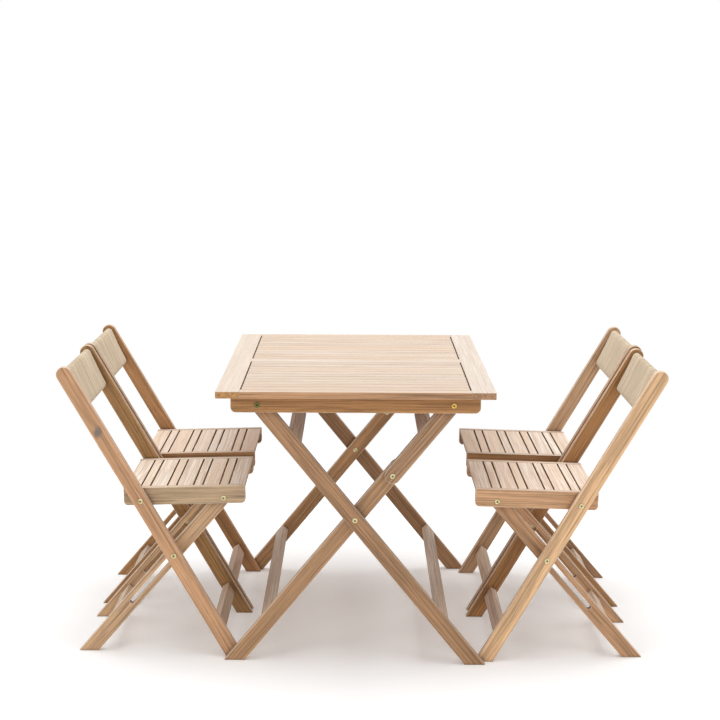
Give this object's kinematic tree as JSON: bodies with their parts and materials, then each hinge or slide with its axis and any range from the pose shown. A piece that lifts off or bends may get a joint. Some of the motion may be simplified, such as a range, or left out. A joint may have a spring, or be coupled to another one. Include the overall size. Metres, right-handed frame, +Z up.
{
  "type": "folding patio dining set",
  "caption": "Folding slatted hardwood table with scissor legs and matching folding slatted chairs with cord-wound backs.",
  "frame": {"origin": "middle of the set's footprint on the floor", "axes": "+X across the table from the left chairs to the right chairs, the longest extent; +Z up, the shortest extent; the front faces -Y"},
  "size_m": [1.603, 1.14, 0.784],
  "materials": {
    "hardwood": "oiled, slightly washed",
    "brass": "satin, aged",
    "cord": "twisted natural cord"
  },
  "bodies": {
    "outer_leg_frame": {"outer_legs": "hardwood", "outer_stretchers": "hardwood", "cross_bolts": "brass"},
    "table_top": {"top_end_boards": "hardwood", "top_edge_rails": "hardwood", "top_center_rail": "hardwood", "top_slats": "hardwood", "top_battens": "hardwood", "aprons": "hardwood", "apron_bolts": "brass"},
    "inner_leg_frame": {"inner_legs": "hardwood", "inner_stretcher": "hardwood", "inner_sleeve_nuts": "brass"},
    "link_frame": {"links": "hardwood", "link_stretcher": "hardwood", "link_bolts": "brass"},
    "front_left_posts": {"front_left_post_near": "hardwood", "front_left_post_far": "hardwood", "front_left_back_bars": "hardwood", "front_left_cord_back": "cord", "front_left_front_stretcher": "hardwood", "front_left_post_bolts": "brass"},
    "front_left_seat": {"front_left_seat_rails": "hardwood", "front_left_seat_slats": "hardwood", "front_left_seat_bolts": "brass"},
    "front_left_rear_leg_frame": {"front_left_rear_legs": "hardwood", "front_left_rear_stretcher": "hardwood"},
    "back_left_posts": {"back_left_post_near": "hardwood", "back_left_post_far": "hardwood", "back_left_back_bars": "hardwood", "back_left_cord_back": "cord", "back_left_front_stretcher": "hardwood", "back_left_post_bolts": "brass"},
    "back_left_seat": {"back_left_seat_rails": "hardwood", "back_left_seat_slats": "hardwood", "back_left_seat_bolts": "brass"},
    "back_left_rear_leg_frame": {"back_left_rear_legs": "hardwood", "back_left_rear_stretcher": "hardwood"},
    "front_right_posts": {"front_right_post_near": "hardwood", "front_right_post_far": "hardwood", "front_right_back_bars": "hardwood", "front_right_cord_back": "cord", "front_right_front_stretcher": "hardwood", "front_right_post_bolts": "brass"},
    "front_right_seat": {"front_right_seat_rails": "hardwood", "front_right_seat_slats": "hardwood", "front_right_seat_bolts": "brass"},
    "front_right_rear_leg_frame": {"front_right_rear_legs": "hardwood", "front_right_rear_stretcher": "hardwood"},
    "back_right_posts": {"back_right_post_near": "hardwood", "back_right_post_far": "hardwood", "back_right_back_bars": "hardwood", "back_right_cord_back": "cord", "back_right_front_stretcher": "hardwood", "back_right_post_bolts": "brass"},
    "back_right_seat": {"back_right_seat_rails": "hardwood", "back_right_seat_slats": "hardwood", "back_right_seat_bolts": "brass"},
    "back_right_rear_leg_frame": {"back_right_rear_legs": "hardwood", "back_right_rear_stretcher": "hardwood"}
  },
  "joints": [
    {"name": "table_top_fold", "type": "hinge", "parent": "outer_leg_frame", "child": "table_top", "pos_m": [-0.2695, 0, 0.7], "axis": [0, 1, 0], "range_deg": [0, 36.37]},
    {"name": "leg_scissor", "type": "hinge", "parent": "outer_leg_frame", "child": "inner_leg_frame", "pos_m": [-0.0155, 0, 0.39], "axis": [0, -1, 0], "range_deg": [0, 58.42]},
    {"name": "link_fold", "type": "hinge", "parent": "table_top", "child": "link_frame", "pos_m": [0.2385, 0, 0.7], "axis": [0, 1, 0], "range_deg": [0, 47.97]},
    {"name": "front_left_pull_out", "type": "slide", "parent": "outer_leg_frame", "child": "front_left_posts", "axis": [-1, 0, 0], "range_m": [0, 0.4]},
    {"name": "front_left_seat_fold", "type": "hinge", "parent": "front_left_posts", "child": "front_left_seat", "pos_m": [-0.5843, -0.233, 0.426], "axis": [0, -1, 0], "range_deg": [0, 118.97]},
    {"name": "front_left_rear_legs_fold", "type": "hinge", "parent": "front_left_seat", "child": "front_left_rear_leg_frame", "pos_m": [-0.3655, -0.233, 0.431], "axis": [0, 1, 0], "range_deg": [0, 48.05]},
    {"name": "back_left_pull_out", "type": "slide", "parent": "outer_leg_frame", "child": "back_left_posts", "axis": [-1, 0, 0], "range_m": [0, 0.4]},
    {"name": "back_left_seat_fold", "type": "hinge", "parent": "back_left_posts", "child": "back_left_seat", "pos_m": [-0.5843, 0.233, 0.426], "axis": [0, -1, 0], "range_deg": [0, 118.97]},
    {"name": "back_left_rear_legs_fold", "type": "hinge", "parent": "back_left_seat", "child": "back_left_rear_leg_frame", "pos_m": [-0.3655, 0.233, 0.431], "axis": [0, 1, 0], "range_deg": [0, 48.05]},
    {"name": "front_right_pull_out", "type": "slide", "parent": "outer_leg_frame", "child": "front_right_posts", "axis": [1, 0, 0], "range_m": [0, 0.4]},
    {"name": "front_right_seat_fold", "type": "hinge", "parent": "front_right_posts", "child": "front_right_seat", "pos_m": [0.5788, -0.258, 0.426], "axis": [0, 1, 0], "range_deg": [0, 118.97]},
    {"name": "front_right_rear_legs_fold", "type": "hinge", "parent": "front_right_seat", "child": "front_right_rear_leg_frame", "pos_m": [0.36, -0.258, 0.431], "axis": [0, -1, 0], "range_deg": [0, 48.05]},
    {"name": "back_right_pull_out", "type": "slide", "parent": "outer_leg_frame", "child": "back_right_posts", "axis": [1, 0, 0], "range_m": [0, 0.4]},
    {"name": "back_right_seat_fold", "type": "hinge", "parent": "back_right_posts", "child": "back_right_seat", "pos_m": [0.5843, 0.233, 0.426], "axis": [0, 1, 0], "range_deg": [0, 118.97]},
    {"name": "back_right_rear_legs_fold", "type": "hinge", "parent": "back_right_seat", "child": "back_right_rear_leg_frame", "pos_m": [0.3655, 0.233, 0.431], "axis": [0, -1, 0], "range_deg": [0, 48.05]}
  ],
  "couplings": [
    {"joint": "leg_scissor", "follows": "table_top_fold", "ratio": 1.606},
    {"joint": "link_fold", "follows": "table_top_fold", "ratio": 1.3187},
    {"joint": "front_left_rear_legs_fold", "follows": "front_left_seat_fold", "ratio": 0.4038},
    {"joint": "back_left_rear_legs_fold", "follows": "back_left_seat_fold", "ratio": 0.4038},
    {"joint": "front_right_rear_legs_fold", "follows": "front_right_seat_fold", "ratio": 0.4038},
    {"joint": "back_right_rear_legs_fold", "follows": "back_right_seat_fold", "ratio": 0.4038}
  ]
}
